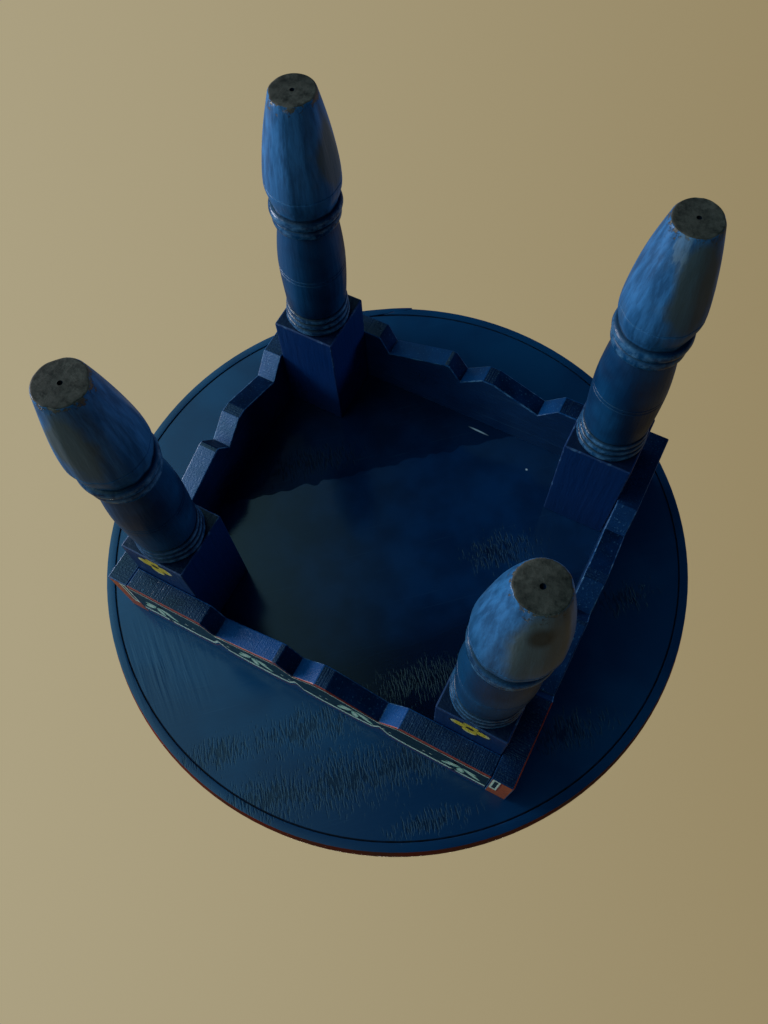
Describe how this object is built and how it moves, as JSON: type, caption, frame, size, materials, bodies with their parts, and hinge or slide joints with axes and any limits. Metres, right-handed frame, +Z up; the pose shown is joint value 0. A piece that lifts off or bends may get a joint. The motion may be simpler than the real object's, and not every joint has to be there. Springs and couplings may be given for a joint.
{
  "type": "tea table",
  "caption": "Low round tea table of painted wood: hooped round top, saw-cut aprons and turned legs with square blocks, for serving tea beside floor cushions.",
  "frame": {"origin": "on the floor under the middle of the round top", "axes": "+Z up, standing on the feet; -Y the side of the front apron, X along the front apron"},
  "size_m": [0.4999, 0.4999, 0.3418],
  "materials": {
    "panel_paint": "dark blue paint, satin",
    "rim_paint": "red-brown paint, satin",
    "apron_paint": "dark blue paint, satin",
    "leg_paint": "blue paint, satin, worn",
    "nail_steel": "dull wire nail"
  },
  "bodies": {
    "root": {"top_panel": "panel_paint", "rim_hoop": "rim_paint", "apron_front": "apron_paint", "apron_back": "apron_paint", "apron_left": "apron_paint", "apron_right": "apron_paint", "leg_front_left": "leg_paint", "leg_front_right": "leg_paint", "leg_rear_left": "leg_paint", "leg_rear_right": "leg_paint", "apron_front_nail_a_low": "nail_steel", "apron_front_nail_a_high": "nail_steel", "apron_front_nail_b_low": "nail_steel", "apron_front_nail_b_high": "nail_steel", "apron_back_nail_a_low": "nail_steel", "apron_back_nail_a_high": "nail_steel", "apron_back_nail_b_low": "nail_steel", "apron_back_nail_b_high": "nail_steel", "apron_left_nail_a_low": "nail_steel", "apron_left_nail_a_high": "nail_steel", "apron_left_nail_b_low": "nail_steel", "apron_left_nail_b_high": "nail_steel", "apron_right_nail_a_low": "nail_steel", "apron_right_nail_a_high": "nail_steel", "apron_right_nail_b_low": "nail_steel", "apron_right_nail_b_high": "nail_steel", "top_nail_front_left": "nail_steel", "top_nail_front_right": "nail_steel", "top_nail_rear_left": "nail_steel", "top_nail_rear_right": "nail_steel", "rim_brad_1": "nail_steel", "rim_brad_2": "nail_steel", "rim_brad_3": "nail_steel", "rim_brad_4": "nail_steel", "rim_brad_5": "nail_steel", "rim_brad_6": "nail_steel", "rim_brad_7": "nail_steel", "rim_brad_8": "nail_steel"}
  },
  "joints": []
}
